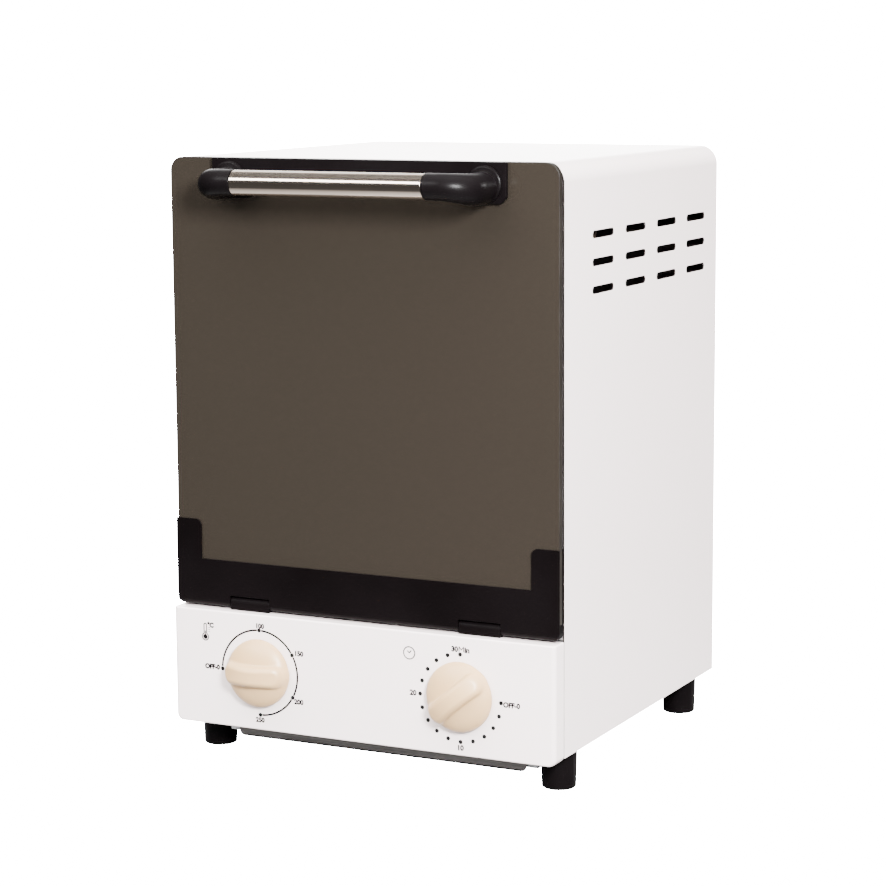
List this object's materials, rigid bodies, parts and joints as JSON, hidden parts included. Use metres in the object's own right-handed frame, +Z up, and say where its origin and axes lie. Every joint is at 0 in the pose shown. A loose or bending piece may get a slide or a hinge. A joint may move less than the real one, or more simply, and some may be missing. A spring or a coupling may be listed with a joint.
{
  "type": "dry heat sterilizer cabinet",
  "caption": "Countertop dry heat sterilizer cabinet with a drop-down tinted glass door, bar handle, wire rack, temperature and timer dials, side vent slots and short feet.",
  "frame": {"origin": "centre of the overall width and depth, on the surface that the feet stand on", "axes": "+Z up, front of the cabinet faces -Y, +X to the right seen from the front"},
  "size_m": [0.2386, 0.278, 0.3412],
  "materials": {
    "white_paint": "gloss white powder coat on sheet steel",
    "black_plastic": "black moulded heat resistant plastic",
    "black_paint": "black satin paint on folded steel",
    "cream_plastic": "cream moulded plastic, satin",
    "dark_glass": "dark bronze tinted toughened glass, nearly opaque",
    "brushed_steel": "brushed stainless steel",
    "zinc_sheet": "galvanised sheet steel",
    "grey_sheet": "dull grey sheet steel",
    "chrome_wire": "chrome plated wire",
    "ceramic": "off-white steatite ceramic",
    "phenolic": "dark brown phenolic"
  },
  "bodies": {
    "cabinet": {"outer_case": "white_paint", "rear_panel": "white_paint", "control_panel": "white_paint", "base_plate": "zinc_sheet", "front_frame": "zinc_sheet", "chamber_liner": "zinc_sheet", "floor_shield": "zinc_sheet", "control_bracket": "zinc_sheet", "thermostat_body": "phenolic", "timer_body": "zinc_sheet", "timer_bell": "brushed_steel", "terminal_block": "ceramic", "cord_gland": "black_plastic", "heater_lower_front": "brushed_steel", "heater_lower_rear": "brushed_steel", "heater_upper_front": "brushed_steel", "heater_upper_rear": "brushed_steel", "insulator_lower_front_left": "ceramic", "insulator_lower_front_right": "ceramic", "insulator_lower_rear_left": "ceramic", "insulator_lower_rear_right": "ceramic", "insulator_upper_front_left": "ceramic", "insulator_upper_front_right": "ceramic", "insulator_upper_rear_left": "ceramic", "insulator_upper_rear_right": "ceramic", "hinge_knuckle_left": "black_paint", "hinge_knuckle_right": "black_paint", "hinge_pin_left": "brushed_steel", "hinge_pin_right": "brushed_steel", "tray_guide_left": "zinc_sheet", "tray_guide_right": "zinc_sheet", "foot_front_left": "black_plastic", "foot_front_right": "black_plastic", "foot_rear_left": "black_plastic", "foot_rear_right": "black_plastic"},
    "door": {"door_glass": "dark_glass", "door_rail": "black_paint", "handle_plate": "black_plastic", "handle_end_left": "black_plastic", "handle_end_right": "black_plastic", "handle_bar": "brushed_steel", "handle_screw_left": "brushed_steel", "handle_screw_right": "brushed_steel"},
    "temperature_dial": {"temperature_knob": "cream_plastic", "temperature_shaft": "brushed_steel"},
    "timer_dial": {"timer_knob": "cream_plastic", "timer_shaft": "brushed_steel"},
    "rack": {"wire_rack": "chrome_wire", "instrument_tray": "brushed_steel"},
    "crumb_drawer": {"crumb_tray": "grey_sheet"}
  },
  "joints": [
    {"name": "door_hinge", "type": "hinge", "parent": "cabinet", "child": "door", "pos_m": [0, -0.09745, 0.0902], "axis": [1, 0, 0], "range_deg": [0, 90]},
    {"name": "temperature_turn", "type": "hinge", "parent": "cabinet", "child": "temperature_dial", "pos_m": [-0.063, -0.10585, 0.0526], "axis": [0, 1, 0], "range_deg": [0, 270]},
    {"name": "timer_turn", "type": "hinge", "parent": "cabinet", "child": "timer_dial", "pos_m": [0.063, -0.10585, 0.0526], "axis": [0, 1, 0], "range_deg": [-140, 130]},
    {"name": "rack_slide", "type": "slide", "parent": "cabinet", "child": "rack", "axis": [0, -1, 0], "range_m": [0, 0.11]},
    {"name": "crumb_slide", "type": "slide", "parent": "cabinet", "child": "crumb_drawer", "axis": [0, -1, 0], "range_m": [0, 0.15]}
  ],
  "couplings": [
    {"joint": "rack_slide", "follows": "door_hinge", "m_per_rad": 0.07}
  ]
}
